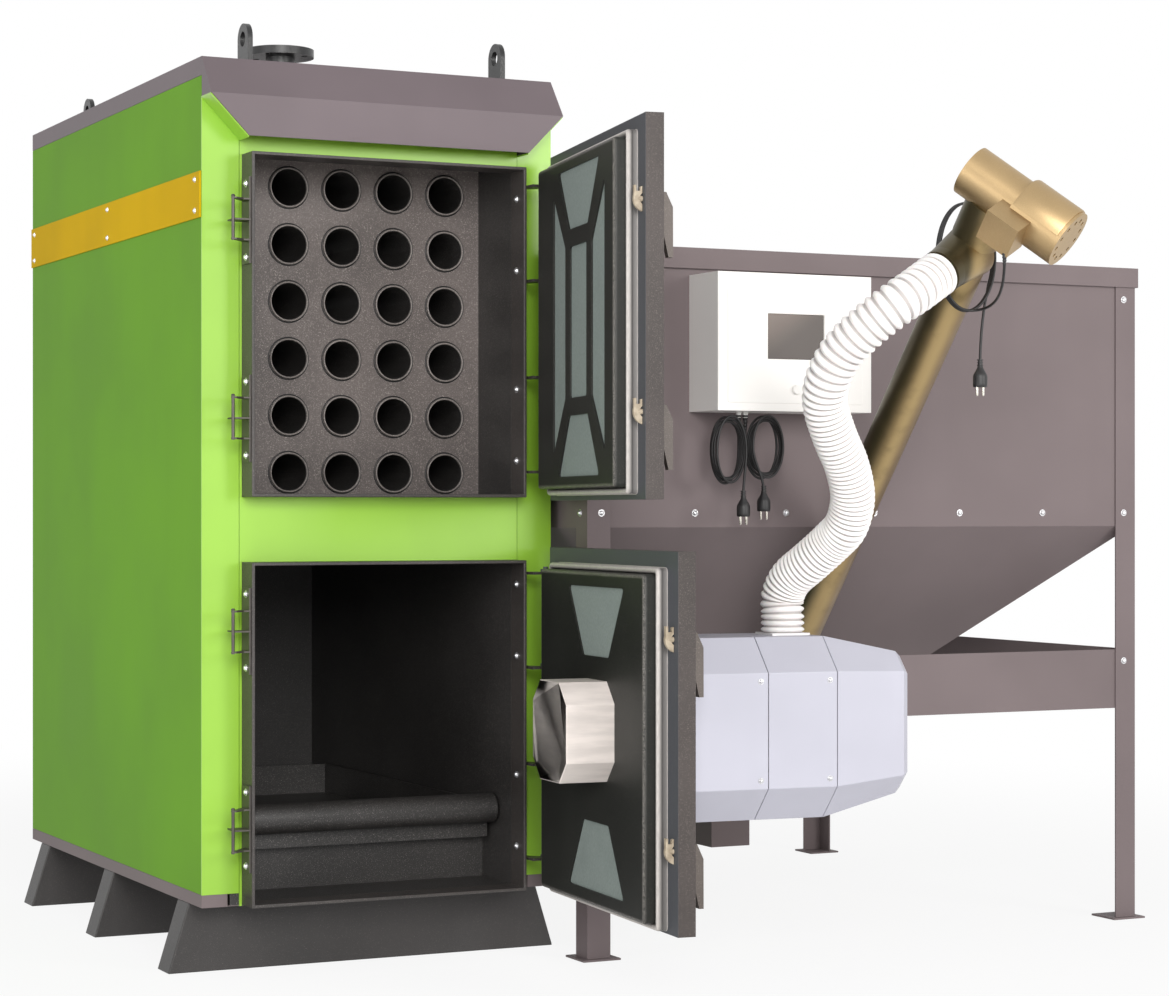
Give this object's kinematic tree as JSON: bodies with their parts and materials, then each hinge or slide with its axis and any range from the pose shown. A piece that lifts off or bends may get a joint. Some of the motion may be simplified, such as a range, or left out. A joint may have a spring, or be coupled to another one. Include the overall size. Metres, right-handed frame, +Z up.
{
  "type": "pellet boiler",
  "caption": "Floor-standing pellet boiler with open chamber doors, a burner on the lower door, a pellet hopper on legs, an inclined auger, a ribbed feed hose and a wall control box.",
  "frame": {"origin": "on the floor, under the centre of the boiler body's middle foot beam", "axes": "+Z up, the boiler's doors face -Y, the hopper stands at +X"},
  "size_m": [2.077, 2.3092, 1.823],
  "materials": {
    "dark_steel": "textured charcoal powder coat",
    "green": "satin green paint",
    "roof_grey": "satin grey paint",
    "yellow": "satin yellow paint",
    "zinc": "zinc-plated",
    "soot_black": "matt black heat-resistant paint",
    "bare_steel": "bare steel",
    "insulation": "pressed fibre",
    "seal_rope": "glass-fibre rope",
    "nozzle": "heat-resistant steel",
    "burner_paint": "light grey paint",
    "hopper_paint": "satin grey paint",
    "auger_paint": "metallic gold-brown paint",
    "white_plastic": "white",
    "white_paint": "white enamel",
    "display": "dark display pane",
    "black_rubber": "black",
    "latch_steel": "dark paint"
  },
  "bodies": {
    "root": {"foot_beams": "dark_steel", "base_frame": "roof_grey", "side_panels": "green", "rear_panel": "green", "front_panel": "green", "roof_cover": "roof_grey", "side_band_plate": "yellow", "panel_bolts": "zinc", "upper_door_frame": "dark_steel", "lower_door_frame": "dark_steel", "water_jacket": "bare_steel", "chamber_walls": "soot_black", "tube_sheets": "soot_black", "fire_tubes": "soot_black", "smoke_outlet": "soot_black", "lifting_eyes": "dark_steel", "water_flanges": "dark_steel", "door_strikers": "dark_steel", "hinge_brackets": "dark_steel", "hopper_stand": "hopper_paint", "hopper_panels": "hopper_paint", "hopper_funnel": "hopper_paint", "hopper_boot": "hopper_paint", "auger_tube": "auger_paint", "auger_drive": "auger_paint", "feed_hose": "white_plastic", "control_case": "white_paint", "control_panel": "white_paint", "control_display": "display", "power_cord": "black_rubber", "power_plug": "black_rubber", "signal_cord": "black_rubber", "signal_plug": "black_rubber", "auger_cord": "black_rubber", "auger_plug": "black_rubber"},
    "upper_door": {"upper_door_shell": "dark_steel", "upper_door_insulation": "insulation", "upper_door_seal": "seal_rope", "upper_door_plate": "dark_steel"},
    "lower_door": {"lower_door_shell": "dark_steel", "lower_door_insulation": "insulation", "lower_door_seal": "seal_rope", "lower_door_plate": "dark_steel", "burner_nozzle": "nozzle", "burner_case_inner": "burner_paint", "burner_case_middle": "burner_paint", "burner_case_outer": "burner_paint", "burner_screws": "zinc", "burner_chassis": "bare_steel", "hose_inlet": "bare_steel"},
    "upper_latch_top": {"upper_latch_top": "latch_steel"},
    "upper_latch_bottom": {"upper_latch_bottom": "latch_steel"},
    "lower_latch_top": {"lower_latch_top": "latch_steel"},
    "lower_latch_bottom": {"lower_latch_bottom": "latch_steel"},
    "ash_pan": {"ash_pan": "soot_black"},
    "hopper_lid": {"hopper_lid": "hopper_paint"},
    "control_knob": {"control_knob": "white_plastic"},
    "auger_screw": {"auger_screw": "bare_steel"},
    "burner_fan": {"burner_fan": "bare_steel"},
    "feed_screw": {"feed_screw": "bare_steel"}
  },
  "joints": [
    {"name": "upper_door_swing", "type": "hinge", "parent": "root", "child": "upper_door", "pos_m": [0.314, -0.666, 1.207], "axis": [0, 0, 1], "range_deg": [-79.3, 13]},
    {"name": "lower_door_swing", "type": "hinge", "parent": "root", "child": "lower_door", "pos_m": [0.314, -0.666, 0.45], "axis": [0, 0, 1], "range_deg": [-84.65, 5.35], "deforming": ["feed_hose"]},
    {"name": "upper_latch_top_turn", "type": "hinge", "parent": "upper_door", "child": "upper_latch_top", "pos_m": [0.22358, -1.27378, 1.3985], "axis": [-0.9826, 0.1857, 0], "range_deg": [-90, 0]},
    {"name": "upper_latch_bottom_turn", "type": "hinge", "parent": "upper_door", "child": "upper_latch_bottom", "pos_m": [0.22358, -1.27378, 1.0335], "axis": [-0.9826, 0.1857, 0], "range_deg": [-90, 0]},
    {"name": "lower_latch_top_turn", "type": "hinge", "parent": "lower_door", "child": "lower_latch_top", "pos_m": [0.28065, -1.27956, 0.6415], "axis": [-0.9956, 0.0932, 0], "range_deg": [-90, 0]},
    {"name": "lower_latch_bottom_turn", "type": "hinge", "parent": "lower_door", "child": "lower_latch_bottom", "pos_m": [0.28065, -1.27956, 0.2765], "axis": [-0.9956, 0.0932, 0], "range_deg": [-90, 0]},
    {"name": "ash_pan_slide", "type": "slide", "parent": "root", "child": "ash_pan", "axis": [0, -1, 0], "range_m": [0, 0.25]},
    {"name": "hopper_lid_lift", "type": "hinge", "parent": "root", "child": "hopper_lid", "pos_m": [1.0185, 0.574, 1.342], "axis": [-1, 0, 0], "range_deg": [0, 75]},
    {"name": "control_knob_turn", "type": "hinge", "parent": "root", "child": "control_knob", "pos_m": [0.7655, -0.845, 1.098], "axis": [0, -1, 0], "continuous": true},
    {"name": "auger_screw_turn", "type": "hinge", "parent": "root", "child": "auger_screw", "pos_m": [1.0185, -0.0845, 0.184], "axis": [-0.1208, -0.7461, 0.6547], "continuous": true},
    {"name": "burner_fan_turn", "type": "hinge", "parent": "lower_door", "child": "burner_fan", "pos_m": [0.61391, -1.04562, 0.38], "axis": [-0.9956, 0.0932, 0], "continuous": true},
    {"name": "feed_screw_turn", "type": "hinge", "parent": "lower_door", "child": "feed_screw", "pos_m": [0.61391, -1.04562, 0.505], "axis": [-0.9956, 0.0932, 0], "continuous": true}
  ]
}
